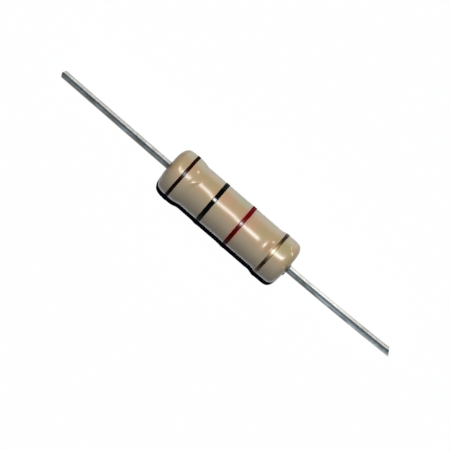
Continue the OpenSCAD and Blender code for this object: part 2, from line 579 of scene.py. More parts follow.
@dataclass(frozen=True)
class TanLacquer:
    """The body's glossy tan lacquer, slightly clouded and flowed.

    It carries painted shade, greyer and darker, down its -Y side. It is stained by the red band, has a few
    painted highlights as pale marks, and is darker close round the leads, with a painted shadow under them.
    It lends the floor no colour, so that the part's shadow stays dark.
    """

    warm: Colour = shade(0.556, 0.343, 0.211)
    olive: Colour = shade(0.430, 0.364, 0.186)
    # painted shade: the lacquer greyer and darker down its -Y side, away from the key lamp
    shade_grey: Colour = shade(0.420, 0.342, 0.238)
    stained: Colour = shade(0.545, 0.275, 0.185)
    # painted highlight colour: pale marks that stand in for glints off small bumps
    glint_tint: Colour = shade(0.92, 0.80, 0.56)
    # the lacquer drawn darker and greyer close round the leads
    lead_ring: Colour = shade(0.24, 0.22, 0.165)
    # painted shadow: near-black on the lower side of the lacquer round the leads, under each exit
    painted_shadow: Colour = shade(0.02, 0.02, 0.02)
    to_floor: Colour = BLACK
    mottle: Mottle = Mottle(560.0, 5200.0)
    polish: Polish = Polish(0.40, 0.50)
    flow: Flow = Flow(1300.0, 900.0, 0.6)
    shade_grey_span: Span = (0.4 * MM, -1.1 * MM)
    stain_place: float = 1.4 * MM
    stain_span: Span = (0.25 * MM, 0.55 * MM)
    lead_ring_span: Span = (0.75 * MM, 0.55 * MM)
    # painted shadow: the span of Y below which the lip round the leads is drawn near-black
    painted_shadow_span: Span = (-0.1 * MM, -0.4 * MM)
    # painted highlights, each a pale mark where a small bump would catch the key lamp
    painted_glints: tuple[PaintedGlint, ...] = (
        painted_glint(-5.12, 32, 2.43, (0.0, 1.0, 0.0), 0.24, 0.22, 0.75),
        painted_glint(4.95, 24, 2.35, (0.7, -0.7, 0.0), 0.28, 0.18, 0.8),
        painted_glint(7.14, 32, 2.39, (0.6, -0.75, -0.3), 0.36, 0.15, 1.0),
        painted_glint(6.70, 42, 2.45, (0.6, -0.65, 0.45), 0.42, 0.13, 0.35),
        painted_glint(7.34, -8, 2.28, (0.7, -0.7, 0.0), 0.42, 0.14, 0.45),
    )
    specular: float = 0.02
    coat: float = 0.53
    thick_coat: float = 0.68
    thick_place: float = 5.5 * MM
    thick_span: Span = (2.8 * MM, 4.2 * MM)
    flank_coat: float = 0.8
    flank_span: Span = (1.0 * MM, 1.8 * MM)
    coat_roughness: float = 0.29
    ripple_depth: float = 0.001 * MM

    def _colour(self, effects: EffectKit, sheet: NodeSheet) -> bpy.types.NodeSocket:
        """Draws the lacquer's colour.

        Args:
            effects: the shared effects.
            sheet: the material's sheet.

        Returns:
            The colour's socket.
        """
        colour = effects.tint(sheet, self.warm, self.olive, self.mottle)
        # painted shade down the -Y side
        colour = sheet.blend(effects.side(sheet, self.shade_grey_span), colour, self.shade_grey)
        clear = effects.apart(sheet, X_AXIS, self.stain_place, self.stain_span)
        colour = sheet.blend(clear, self.stained, colour)
        # painted highlights
        for mark in self.painted_glints:
            colour = sheet.blend(mark.mask(effects, sheet), colour, self.glint_tint)
        # painted shadow on the lower side of the lip round each lead
        lip = sheet.blend(effects.side(sheet, self.painted_shadow_span), self.lead_ring, self.painted_shadow)
        # darker and greyer close round the leads
        colour = sheet.blend(effects.core(sheet, self.lead_ring_span), colour, lip)
        bounced = sheet.add("LightPath").outputs["Is Diffuse Ray"]
        return sheet.blend(bounced, colour, self.to_floor)

    def _coat(self, effects: EffectKit, sheet: NodeSheet) -> bpy.types.NodeSocket:
        """Draws the weight of the lacquer's gloss, which is more round one end and on the flanks.

        Args:
            effects: the shared effects.
            sheet: the material's sheet.

        Returns:
            The weight's socket.
        """
        beyond = effects.apart(sheet, X_AXIS, self.thick_place, self.thick_span)
        flank = effects.apart(sheet, Y_AXIS, CREST_Y, self.flank_span)
        return sheet.between(flank, sheet.between(beyond, self.thick_coat, self.coat), self.flank_coat)

    def material(self, effects: EffectKit) -> bpy.types.Material:
        """Builds the lacquer's material.

        Args:
            effects: the shared effects.

        Returns:
            The material.
        """
        material, sheet, shader = new_material("tan_lacquer")
        inputs = {
            "Base Color": self._colour(effects, sheet),
            "Roughness": effects.gloss(sheet, self.polish),
            "Specular IOR Level": self.specular,
            "Coat Weight": self._coat(effects, sheet),
            "Coat Roughness": self.coat_roughness,
            "Normal": raised(sheet, effects.relief(sheet, self.flow), self.ripple_depth),
        }
        sheet.feed(shader, inputs)
        return material


@dataclass(frozen=True)
class BandPaint:
    """Opaque band paint, printed by a wheel that leaves faint lines round the body."""

    name: str
    deep: Colour
    thin: Colour
    coat: float = 0.5
    flank_coat: float = 0.12
    specular: float = 0.0
    coat_roughness: float = 0.13
    line_depth: float = 0.0015 * MM
    # painted shade: how much darker the band's lower half is drawn
    shade_tone: float = 0.55
    mottle: Mottle = Mottle(1600.0, 9000.0)
    polish: Polish = Polish(0.32, 0.48, 1500.0)
    lines: FineLines = FineLines((16000.0, 500.0, 500.0), 0.25)
    shade_span: Span = (0.1 * MM, -0.5 * MM)
    flank_span: Span = (0.6 * MM, 1.1 * MM)

    @property
    def shaded_colour(self) -> Colour:
        """The colour of the band's lower half: painted shade, the paint's own colour darkened there."""
        return shade(*(self.shade_tone * c for c in self.deep[:3]))

    def material(self, effects: EffectKit) -> bpy.types.Material:
        """Builds the paint's material.

        Args:
            effects: the shared effects.

        Returns:
            The material.
        """
        material, sheet, shader = new_material(self.name)
        colour = effects.tint(sheet, self.deep, self.thin, self.mottle)
        flank = effects.apart(sheet, Y_AXIS, CREST_Y, self.flank_span)
        inputs = {
            # painted shade on the band's lower half
            "Base Color": sheet.blend(effects.side(sheet, self.shade_span), colour, self.shaded_colour),
            "Roughness": effects.gloss(sheet, self.polish),
            "Specular IOR Level": self.specular,
            "Coat Weight": sheet.between(flank, self.coat, self.flank_coat),
            "Coat Roughness": self.coat_roughness,
            "Normal": raised(sheet, effects.lines(sheet, self.lines)["Height"], self.line_depth),
        }
        sheet.feed(shader, inputs)
        return material


@dataclass(frozen=True)
class GoldPaint:
    """Metallic gold band paint, bright along the crest, with painted shade on its colour down the flanks.
    """

    bright: Colour = shade(0.27, 0.180, 0.088)
    dull: Colour = shade(0.20, 0.128, 0.060)
    # painted shade: the gold's colour down the flanks, away from the crest that faces the key lamp
    deep: Colour = shade(0.034, 0.012, 0.0022)
    metallic: float = 1.0
    coat: float = 1.0
    flank_coat: float = 0.15
    coat_roughness: float = 0.28
    line_depth: float = 0.0015 * MM
    mottle: Mottle = Mottle(2600.0, 14000.0, 0.5)
    polish: Polish = Polish(0.46, 0.54, 2200.0)
    lines: FineLines = FineLines((16000.0, 500.0, 500.0), 0.25)
    flank_span: Span = (0.6 * MM, 1.6 * MM)

    def material(self, effects: EffectKit) -> bpy.types.Material:
        """Builds the gold paint's material.

        Args:
            effects: the shared effects.

        Returns:
            The material.
        """
        material, sheet, shader = new_material("gold_paint")
        colour = effects.tint(sheet, self.bright, self.dull, self.mottle)
        flank = effects.apart(sheet, Y_AXIS, CREST_Y, self.flank_span)
        inputs = {
            # painted shade down the flanks
            "Base Color": sheet.blend(flank, colour, self.deep),
            "Roughness": effects.gloss(sheet, self.polish),
            "Metallic": self.metallic,
            "Coat Weight": sheet.between(flank, self.coat, self.flank_coat),
            "Coat Roughness": self.coat_roughness,
            "Normal": raised(sheet, effects.lines(sheet, self.lines)["Height"], self.line_depth),
        }
        sheet.feed(shader, inputs)
        return material


@dataclass(frozen=True)
class BareMetal:
    """Tinned or plated metal with the fine lines of drawing or pressing.

    It is tarnished in its lines, darkened by painted shade down one side, and brightened by a painted
    sheen round one place along the part.
    """

    name: str
    bright: Colour
    dull: Colour
    # real tarnish in the fine lines, and painted shade down the -Y side
    tarnish_and_shade: Colour
    polish: Polish
    lines: FineLines
    line_depth: float
    metallic: float = 1.0
    mottle: Mottle = Mottle(2300.0, 7000.0, 0.5)
    # painted shade: the side mask that darkens the metal down its -Y side
    shade_side_span: Span = (-0.1 * MM, -0.4 * MM)
    line_tarnish: float = 0.35
    # painted sheen: the metal drawn brighter round one place along the right lead, where its highlight
    # falls
    painted_sheen: Colour = shade(0.98, 0.98, 0.95)
    painted_sheen_share: float = 0.72
    painted_sheen_place: float = 11.4 * MM
    sheen_fade_span: Span = (2.2 * MM, 6.6 * MM)

    def material(self, effects: EffectKit) -> bpy.types.Material:
        """Builds the metal's material.

        Args:
            effects: the shared effects.

        Returns:
            The material.
        """
        material, sheet, shader = new_material(self.name)
        colour = effects.tint(sheet, self.bright, self.dull, self.mottle)
        # painted sheen round one place along X
        beyond_sheen = effects.apart(sheet, X_AXIS, self.painted_sheen_place, self.sheen_fade_span)
        colour = sheet.blend(beyond_sheen, sheet.blend(self.painted_sheen_share, colour, self.painted_sheen), colour)
        lines = effects.lines(sheet, self.lines)
        tarnish_shade_mask = sheet.math("MULTIPLY", lines["Mask"], self.line_tarnish)
        # painted shade down the -Y side, with real tarnish in the lines
        tarnish_shade_mask = sheet.math("MAXIMUM", tarnish_shade_mask, effects.side(sheet, self.shade_side_span))
        inputs = {
            "Base Color": sheet.blend(tarnish_shade_mask, colour, self.tarnish_and_shade),
            "Roughness": effects.gloss(sheet, self.polish),
            "Metallic": self.metallic,
            "Normal": raised(sheet, lines["Height"], self.line_depth),
        }
        sheet.feed(shader, inputs)
        return material


@dataclass(frozen=True)
class FiredSurface:
    """A dull fired surface: the bare ceramic of the rod, or the carbon baked on it."""

    name: str
    pale: Colour
    dark: Colour
    polish: Polish
    grain_depth: float
    mottle: Mottle = Mottle(1200.0, 12000.0, 0.6)
    flow: Flow = Flow(12000.0, 6000.0, 0.4)

    def material(self, effects: EffectKit) -> bpy.types.Material:
        """Builds the fired surface's material.

        Args:
            effects: the shared effects.

        Returns:
            The material.
        """
        material, sheet, shader = new_material(self.name)
        inputs = {
            "Base Color": effects.tint(sheet, self.pale, self.dark, self.mottle),
            "Roughness": effects.gloss(sheet, self.polish),
            "Normal": raised(sheet, effects.relief(sheet, self.flow), self.grain_depth),
        }
        sheet.feed(shader, inputs)
        return material


BROWN_PAINT = BandPaint(
    "brown_paint", shade(0.014, 0.001, 0.0006), shade(0.026, 0.003, 0.0018), 0.34, 0.06, coat_roughness=0.26
)
BLACK_PAINT = BandPaint("black_paint", shade(0.0012, 0.0011, 0.0014), shade(0.003, 0.0027, 0.0033), 0.34)
RED_PAINT = BandPaint(
    "red_paint", shade(0.125, 0.0015, 0.002), shade(0.165, 0.003, 0.005), 0.50, 0.10, coat_roughness=0.25
)
TINNED_WIRE = BareMetal(
    "tinned_wire",
    bright=shade(0.66, 0.665, 0.64),
    dull=shade(0.41, 0.41, 0.395),
    # real tarnish in the lines, and painted shade down the -Y side
    tarnish_and_shade=shade(0.225, 0.205, 0.178),
    polish=Polish(0.34, 0.44, 1800.0),
    lines=FineLines((350.0, 11000.0, 11000.0), 0.18),
    line_depth=0.002 * MM,
)
PRESSED_STEEL = BareMetal(
    "pressed_steel",
    bright=shade(0.68, 0.67, 0.64),
    dull=shade(0.56, 0.55, 0.53),
    # real tarnish in the lines, and painted shade down the -Y side
    tarnish_and_shade=shade(0.42, 0.41, 0.39),
    polish=Polish(0.26, 0.40, 1800.0),
    lines=FineLines((9000.0, 700.0, 700.0), 0.18),
    line_depth=0.002 * MM,
)
CERAMIC = FiredSurface(
    "rod_ceramic", shade(0.84, 0.81, 0.74), shade(0.74, 0.70, 0.62), Polish(0.55, 0.70), 0.004 * MM
)
CARBON = FiredSurface(
    "film_carbon", shade(0.055, 0.054, 0.058), shade(0.028, 0.028, 0.031), Polish(0.30, 0.45), 0.001 * MM
)


@dataclass(frozen=True)
class EndShape:
    """How the lacquer lies at one end of the body.

    The dome is an ellipse made squarer by a power above 2. The slope down to the waist lies past the
    cap's edge by the slump. The lacquer climbs the lead from a foot, and the bulge is trimmed.
    """

    dome_len: float
    dome_power: float
    slump: float
    slope_len: float
    climb: float
    foot: float
    trim: float
    climb_steps: int = 6
    dome_steps: int = 40
    slope_steps: int = 14


@dataclass(frozen=True)
class Lump:
    """A soft rise, or a hollow where its height is negative, that the lacquer dried with."""

    x: float
    turn: float
    length: float
    spread: float
    height: float
    slant: float

    def rise(self, x: float, turn: float, radius: float) -> float:
        """Its height on a skin.

        Args:
            x: place along the body.
            turn: angle about the X axis.
            radius: the skin's radius.

        Returns:
            The height.
        """
        across = radius * (turn - self.turn)
        along = x - self.x - self.slant * across
        return self.height * math.exp(-((along / self.length) ** 2 + (across / self.spread) ** 2) / 2)


def lump(
    x: float, degrees: float, length: float, spread: float, height: float, slant: float = 0.0
) -> Lump:
    """A lump whose lengths are given in millimetres and whose turn is in degrees."""
    return Lump(x * MM, math.radians(degrees), length * MM, spread * MM, height * MM, slant)


@dataclass(frozen=True)
class DriedSkin:
    """How the lacquer stands off its smooth outline, from its flow as it dried.

    The ovals are places along the body, and how oval its section is there. Ripples cross the skin
    between the two left spans. The noises read places in millimetres on a round bar of one radius.
    """

    sag: float = 0.02 * MM
    oval_turn: float = math.radians(45)
    ovals: tuple[Span, ...] = (
        (-7.1 * MM, 0.0),
        (-6.4 * MM, -0.11 * MM),
        (-5.6 * MM, -0.11 * MM),
        (-4.0 * MM, 0.020 * MM),
        (-3.0 * MM, 0.015 * MM),
        (-2.1 * MM, -0.060 * MM),
        (0.2 * MM, -0.058 * MM),
        (1.4 * MM, -0.105 * MM),
        (4.4 * MM, -0.115 * MM),
        (5.0 * MM, -0.080 * MM),
        (5.9 * MM, -0.055 * MM),
        (6.4 * MM, -0.055 * MM),
        (7.0 * MM, -0.020 * MM),
    )
    lumps: tuple[Lump, ...] = (
        lump(-4.58, 9, 0.13, 0.45, 0.065, 0.5),
        lump(-4.96, 90, 0.40, 1.60, -0.05),
        lump(-7.15, 10, 0.35, 0.80, 0.045),
        lump(-7.20, 57, 0.25, 0.70, 0.035),
        lump(-7.20, 100, 0.25, 0.90, 0.025),
        lump(5.24, 51, 0.22, 0.60, 0.025),
        lump(5.05, 90, 0.28, 1.60, -0.06),
        lump(5.00, -90, 0.28, 1.60, -0.05),
        lump(5.90, -5, 1.00, 0.50, 0.02),
        lump(5.90, 17, 1.00, 0.50, -0.03),
        lump(4.48, 2, 0.36, 0.75, -0.09),
        lump(5.16, 6, 0.17, 0.60, 0.045),
        lump(5.80, 6, 0.60, 0.45, -0.015),
    )
    noise_r: float = 2.4
    wave_depth: float = 0.014 * MM
    wave_pace: float = 0.5
    dimple_depth: float = 0.002 * MM
    dimple_pace: float = 1.7
    dimple_seed: Way = (9.0, 4.0, 2.0)
    ripple_depth: float = 0.012 * MM
    ripple_pitch: float = 0.95 * MM
    ripple_crest: float = -6.69 * MM
    ripple_start: Span = (-4.4 * MM, -4.9 * MM)
    ripple_end: Span = (-7.3 * MM, -6.9 * MM)
    ripple_mean: float = 0.6
    ripple_pace: float = 0.9
    ripple_seed: Way = (1.0, 7.0, 3.0)
    calm_len: float = 0.5 * MM

    def _oval(self, x: float) -> float:
        """How oval the section is.

        Args:
            x: place along the body.

        Returns:
            By how much the radius grows and shrinks round the section.
        """
        value = self.ovals[0][1]
        for (x0, _), (x1, after) in zip(self.ovals, self.ovals[1:]):
            value += (after - value) * fade(x, x0, x1)
        return value

    def height(self, x: float, turn: float, radius: float, half: float) -> float:
        """How far the lacquer stands off at a place.

        Args:
            x: place along the body.
            turn: angle about the X axis.
            radius: the waist's radius.
            half: half of the body's length.

        Returns:
            The distance along the outward normal.
        """
        height = self._oval(x) * math.cos(2 * (turn - self.oval_turn)) - self.sag * math.sin(turn)
        spot = Vector((x / MM, self.noise_r * math.sin(turn), self.noise_r * math.cos(turn)))
        height += self.wave_depth * (noise.noise(self.wave_pace * spot) - 0.5)
        dimple = noise.noise(self.dimple_pace * spot + Vector(self.dimple_seed))
        height += self.dimple_depth * (dimple - 0.5)
        near_left = fade(x, *self.ripple_start) * fade(x, *self.ripple_end)
        crest = math.cos(TAU * (x - self.ripple_crest) / self.ripple_pitch)
        wander = noise.noise(self.ripple_pace * spot + Vector(self.ripple_seed))
        uneven = self.ripple_mean + self.ripple_mean * wander
        height += near_left * self.ripple_depth * uneven * (crest - 1) / 2
        around = math.remainder(turn, TAU)
        height += sum(lump.rise(x, around, radius) for lump in self.lumps)
        return height * fade(abs(x), half, half - self.calm_len)


@dataclass
class LacquerBody:
    """The lacquer over the rod and its caps, with its bulges, slopes, waist and end domes."""

    left: EndShape = EndShape(
        dome_len=1.55 * MM,
        dome_power=3.5,
        slump=0.37 * MM,
        slope_len=1.0 * MM,
        climb=0.02 * MM,
        foot=0.02 * MM,
        trim=0.02 * MM,
    )
    right: EndShape = EndShape(
        dome_len=1.35 * MM,
        dome_power=3.7,
        slump=0.27 * MM,
        slope_len=0.8 * MM,
        climb=0.15 * MM,
        foot=0.3 * MM,
        trim=0.06 * MM,
    )
    coat_on_end: float = 0.3 * MM
    coat_on_film: float = 0.225 * MM
    fillet_lip: float = 0.015 * MM
    lead_drop: float = 0.125 * MM
    drop_span: Span = (1.4 * MM, 0.7 * MM)
    weld_room: float = 0.8
    cap_corner: float = 3.0
    round_side: float = 0.8
    step: float = 0.075 * MM
    turns: int = 192
    crease: float = math.radians(50)
    skin: DriedSkin = field(default_factory=DriedSkin)
    finish: TanLacquer = field(default_factory=TanLacquer)

    def __post_init__(self) -> None:
        """Reads from the frame the sizes that the pieces under the lacquer set."""
        self.film_r = node_radius("carbon_film")
        self.cap_r = node_radius("right_cap")
        self.bulge_r = node_radius("coating")
        self.waist_r = self.film_r + self.coat_on_film
        self.cap_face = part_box("right_cap")[1].x
        self.cap_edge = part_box("right_cap")[0].x
        self.body_half = self.cap_face + self.coat_on_end
        self.lead_r = mount("right_lead")["dims"]["r_mm"] * MM + TIN_T
        axis = mount("right_lead")["axis"]
        self.lean = axis[1] / axis[0]
        self.exit_r = self.lead_r + self.fillet_lip
        self.outer = refined(self._outer_outline(), self.step)
        self._upright = sorted((x, r) for r, x in self.outer if r > self.round_side * self.waist_r)
        self._places = [x for x, _ in self._upright]

    def _end_outline(self, end: EndShape) -> Outline:
        """The outline of one end, with X positive.

        Args:
            end: the end's shape.

        Returns:
            The outline from the tip of the climb up the lead to the waist.
        """
        bulge_r = self.bulge_r - end.trim
        start = math.asin(((self.exit_r + end.foot) / bulge_r) ** (end.dome_power / 2))
        points = []
        for k in range(end.climb_steps + 1):
            a = math.pi / 2 * k / end.climb_steps
            r = self.exit_r + end.foot * (1 - math.cos(a))
            points.append((r, self.body_half + end.climb * (1 - math.sin(a))))
        for k in range(1, end.dome_steps + 1):
            a = start + (math.pi / 2 - start) * k / end.dome_steps
            across = math.sin(a) ** (2 / end.dome_power)
            along = max(math.cos(a), 0.0) ** (2 / end.dome_power)
            points.append((bulge_r * across, self.body_half - end.dome_len * (1 - along)))
        slope_start = self.cap_edge - end.slump + end.slope_len / 2
        for k in range(end.slope_steps + 1):
            share = k / end.slope_steps
            drop = (bulge_r - self.waist_r) * eased(share)
            points.append((bulge_r - drop, slope_start - end.slope_len * share))
        return points

    def _outer_outline(self) -> Outline:
        """The whole outer outline, from the left tip to the right one."""
        left = [(r, -x) for r, x in self._end_outline(self.left)]
        return left + self._end_outline(self.right)[::-1]

    def _inner_outline(self) -> Outline:
        """The lacquer's inside, along the lead, its weld, the cap and the film.

        Returns:
            The outline from the right tip back to the left one.
        """
        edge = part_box("right_lead")[1].z - self.lead_r
        corner = self.cap_corner * edge
        half = [
            (self.lead_r, self.cap_face + self.weld_room * edge),
            (self.lead_r + edge, self.cap_face),
            (self.cap_r - corner, self.cap_face),
            (self.cap_r - edge, self.cap_face - edge),
            (self.cap_r, self.cap_face - corner),
            (self.cap_r, self.cap_edge),
            (self.film_r, self.cap_edge),
        ]
        return half + [(r, -x) for r, x in half[::-1]]

    def _stand_off(self, x: float, turn: float) -> float:
        """How far the lacquer stands off its smooth outline at a place."""
        return self.skin.height(x, turn, self.waist_r, self.body_half)

    def _shift(self, x: float, radius: float) -> float:
        """How far an exit's hole and climb lie towards +Y, to follow its lead."""
        past = max(x - self.cap_face, 0.0)
        return (self.lean * past - self.lead_drop) * fade(radius, *self.drop_span)

    def _ring(self, radius: float, x: float, slope: Vector, free: bool) -> list[Vector]:
        """One ring of the mesh.

        Args:
            radius: radius of the smooth outline there.
            x: its place along the body.
            slope: outward normal of the outline, as radius and X parts.
            free: whether this is the outer skin, which stands off its outline.

        Returns:
            The ring's points.
        """
        ring = []
        side = self._shift(x, radius)
        for k in range(self.turns):
            turn = TAU * k / self.turns
            lift = self._stand_off(x, turn) if free else 0.0
            r, place = radius + slope[0] * lift, x + slope[1] * lift
            ring.append(Vector((place, r * math.sin(turn) + side, r * math.cos(turn))))
        return ring

    @staticmethod
    def _normal(before: tuple[float, float], after: tuple[float, float]) -> Vector:
        """Outward normal, as radius and X parts, of an outline that runs towards +X."""
        along = Vector((after[0] - before[0], after[1] - before[1])).normalized()
        return Vector((along[1], -along[0]))

    def skin_point(self, x: float, turn: float, lift: float) -> Vector:
        """A point on the body's round side, or above it.

        Args:
            x: place along the body, away from its end faces.
            turn: angle about the X axis.
            lift: height above the lacquer.

        Returns:
            The point.
        """
        k = min(max(bisect_left(self._places, x), 1), len(self._places) - 1)
        (x0, r0), (x1, r1) = self._upright[k - 1], self._upright[k]
        radius = r0 + (r1 - r0) * (x - x0) / max(x1 - x0, 1e-9)
        slope = self._normal((r0, x0), (r1, x1))
        off = self._stand_off(x, turn) + lift
        r = radius + slope[0] * off
        return Vector((x + slope[1] * off, r * math.sin(turn), r * math.cos(turn)))

    def build(self) -> bpy.types.Object:
        """Makes the lacquer's closed mesh, hollow for the rod, caps and leads.

        Returns:
            The new object.
        """
        outer = self.outer
        rings = []
        for k, (radius, x) in enumerate(outer):
            before, after = outer[max(k - 1, 0)], outer[min(k + 1, len(outer) - 1)]
            rings.append(self._ring(radius, x, self._normal(before, after), True))
        ends = [(self.lead_r, outer[-1][1])] + self._inner_outline() + [(self.lead_r, outer[0][1])]
        rings += [self._ring(radius, x, Vector((1, 0)), False) for radius, x in ends]
        return skinned("lacquer_body", rings, True, self.crease)

    def dress(self, effects: EffectKit) -> bpy.types.Object:
        """Builds the lacquer, gives it its finish and puts it in the frame.

        Args:
            effects: the shared effects.

        Returns:
            The dressed piece.
        """
        piece = self.build()
        piece.data.materials.append(self.finish.material(effects))
        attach(piece, BODY)
        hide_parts("coating")
        return piece


@dataclass
class ColourBand:
    """One printed ring of paint on the lacquer.

    Half of its section runs from one edge, at -1, to its middle, at 0, each point with its share of
    the paint's thickness. The edges wander from their true lines, with a finer wander on top.
    """

    name: str
    node: str
    slot: str
    finish: BandPaint | GoldPaint
    body: LacquerBody
    place: float
    width: float
    seed: float
    skew: float = 0.0
    paint_t: float = 0.028 * MM
    sink: float = 0.006 * MM
    half_section: tuple[Span, ...] = (
        (-1.0, 0.0), (-0.95, 0.55), (-0.86, 0.9), (-0.7, 1.0), (-0.35, 1.0), (0.0, 1.0)
    )
    wander: float = 0.02 * MM
    wander_pace: float = 2.2
    edges_apart: float = 5.0
    fine_pace: float = 3.3
    fine_share: float = 0.5
    turns: int = 288
    crease: float = math.radians(70)

    def _edge(self, turn: float, which: int) -> float:
        """How far one edge of the print wanders from its true line.

        Args:
            turn: angle about the X axis.
            which: 0 for the left edge and 1 for the right one.

        Returns:
            The distance along X.
        """
        across, up = math.sin(turn) * self.wander_pace, math.cos(turn) * self.wander_pace
        spot = Vector((across, up, self.seed + self.edges_apart * which))
        fine = self.fine_share * noise.noise(self.fine_pace * spot)
        return self.wander * (noise.noise(spot) + fine)

    def build(self) -> bpy.types.Object:
        """Makes the ring of paint: a flat top, rounded edges, and an underside just in the lacquer.

        Returns:
            The new object.
        """
        half = list(self.half_section)
        section = half + [(-across, rise) for across, rise in half[-2::-1]]
        rings: list[list[Vector]] = []
        for across, rise in section + [(1.0, None), (0.0, None), (-1.0, None)]:
            ring = []
            for k in range(self.turns):
                turn = TAU * k / self.turns
                low = -self.width / 2 + self._edge(turn, 0)
                high = self.width / 2 + self._edge(turn, 1)
                x = self.place + low + (high - low) * (across + 1) / 2
                x += math.tan(self.skew) * self.body.waist_r * math.sin(turn)
                lift = -self.sink if rise is None else self.paint_t * rise
                ring.append(self.body.skin_point(x, turn, lift))
            rings.append(ring)
        return skinned(self.name, rings, True, self.crease)

    def dress(self, effects: EffectKit) -> bpy.types.Object:
        """Builds the band, gives it its paint and puts it in the frame.

        Args:
            effects: the shared effects.

        Returns:
            The dressed piece.
        """
        piece = self.build()
        piece.data.materials.append(self.finish.material(effects))
        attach(piece, BODY)
        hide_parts(self.node)
        return piece


@dataclass
class WireLead:
    """One lead: its weld on the cap, its drawn wire and its snipped end.

    The end comes to a ridge at a share of the wire's radius, and falls back from it to either edge.
    """

    side: Side
    bow: float
    drop: float
    ridge: float
    falls: tuple[float, float]
    chamfer: float = 0.03 * MM
    snip: float = 1.0 * MM
    end_share: float = 0.05
    weld_rim: float = 0.05 * MM
    weld_h: float = 0.2 * MM
    wobble: float = 0.006 * MM
    wobble_pace: float = 0.35
    wobble_start: float = 1.5 * MM
    side_seed: float = 3.0
    rise_seed: Way = (0.0, 5.0, 2.0)
    step: float = 0.12 * MM
    turns: int = 48
    crease: float = math.radians(35)

    def __post_init__(self) -> None:
        """Reads the wire's sizes from the frame."""
        self.node = "left_lead" if self.side is Side.LEFT else "right_lead"
        low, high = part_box(self.node)
        self.weld_r = high.z
        self.foot = -high.x if self.side is Side.LEFT else low.x
        self.tip = -low.x if self.side is Side.LEFT else high.x
        self.wire_r = mount(self.node)["dims"]["r_mm"] * MM + TIN_T
        axis = mount(self.node)["axis"]
        self.lean = axis[1] / abs(axis[0])

    def _middle(self, along: float) -> tuple[float, float]:
        """The wire's centre line.

        Args:
            along: distance along the wire from its foot.

        Returns:
            The centre's Y and Z.
        """
        share = along / (self.tip - self.foot)
        bend = -4 * self.bow * share * (1 - share)
        wobble = self.wobble * fade(along, self.weld_h, self.wobble_start)
        spot = Vector((along / MM * self.wobble_pace, self.side_seed * self.side.value, 0.0))
        sway = wobble * noise.noise(spot)
        rise = wobble * noise.noise(spot + Vector(self.rise_seed))
        return self.lean * along + bend + sway - self.drop, rise

    def _snipped(self, along: float, across: float) -> float:
        """Where a point lies along the wire once its end is snipped.

        Args:
            along: its place on the uncut wire.
            across: its place from the wire's -Y edge, -1, to its +Y edge, 1.

        Returns:
            Its place along the snipped wire.
        """
        if across < self.ridge:
            back = self.falls[0] * (self.ridge - across) / (self.ridge + 1)
        else:
            back = self.falls[1] * (across - self.ridge) / (1 - self.ridge)
        share = max(along - (self.tip - self.foot - self.snip), 0.0) / self.snip
        return along - share * back

    def build(self) -> bpy.types.Object:
        """Makes the wire's closed mesh.

        Returns:
            The new object.
        """
        length = self.tip - self.foot
        outline = [
            (self.weld_r, 0.0),
            (self.weld_r, self.weld_rim),
            (self.wire_r, self.weld_h),
            (self.wire_r, length - self.chamfer),
            (self.wire_r - self.chamfer, length),
            (self.end_share * self.wire_r, length),
        ]
        rings = []
        for radius, along in refined(outline, self.step):
            y, z = self._middle(along)
            ring = []
            for k in range(self.turns):
                turn = TAU * k / self.turns
                across = radius * math.sin(turn)
                place = self.side.value * (self.foot + self._snipped(along, across / self.wire_r))
                ring.append(Vector((place, y + across, z + radius * math.cos(turn))))
            rings.append(ring)
        return skinned(self.node + "_wire", rings, False, self.crease)

    def dress(self, metal: bpy.types.Material) -> bpy.types.Object:
        """Builds the wire, gives it its metal and puts it in the frame.

        Args:
            metal: the wire's material.

        Returns:
            The dressed piece.
        """
        piece = self.build()
        piece.data.materials.append(metal)
        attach(piece, BODY)
        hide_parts(self.node)
        return piece


@dataclass(frozen=True)
class InnerWorks:
    """The pieces under the lacquer, whose solids stay as they are and get their finishes."""

    rod: FiredSurface = CERAMIC
    film: FiredSurface = CARBON
    caps: BareMetal = PRESSED_STEEL

    def dress(self, effects: EffectKit) -> list[bpy.types.Object]:
        """Gives the rod, the film and the caps their materials.

        Args:
            effects: the shared effects.

        Returns:
            The dressed nodes.
        """
        steel = self.caps.material(effects)
        finishes = {
            "ceramic_rod": self.rod.material(effects),
            "carbon_film": self.film.material(effects),
            "left_cap": steel,
            "right_cap": steel,
        }
        for node, material in finishes.items():
            mesh = frame["nodes"][node].data
            mesh.materials.clear()
            mesh.materials.append(material)
        return [frame["nodes"][node] for node in finishes]


@dataclass(frozen=True)
class SoftLamp:
    """A round soft lamp at a tilt, in degrees, from +Z towards +Y.

    Matt surfaces see it where it tints, and glossy ones where it shines.
    """

    name: str
    tilt: float
    width: float
    watts: float
    shines: bool = True
    tints: bool = True
    colour: tuple[float, float, float] = (1.0, 1.0, 1.0)


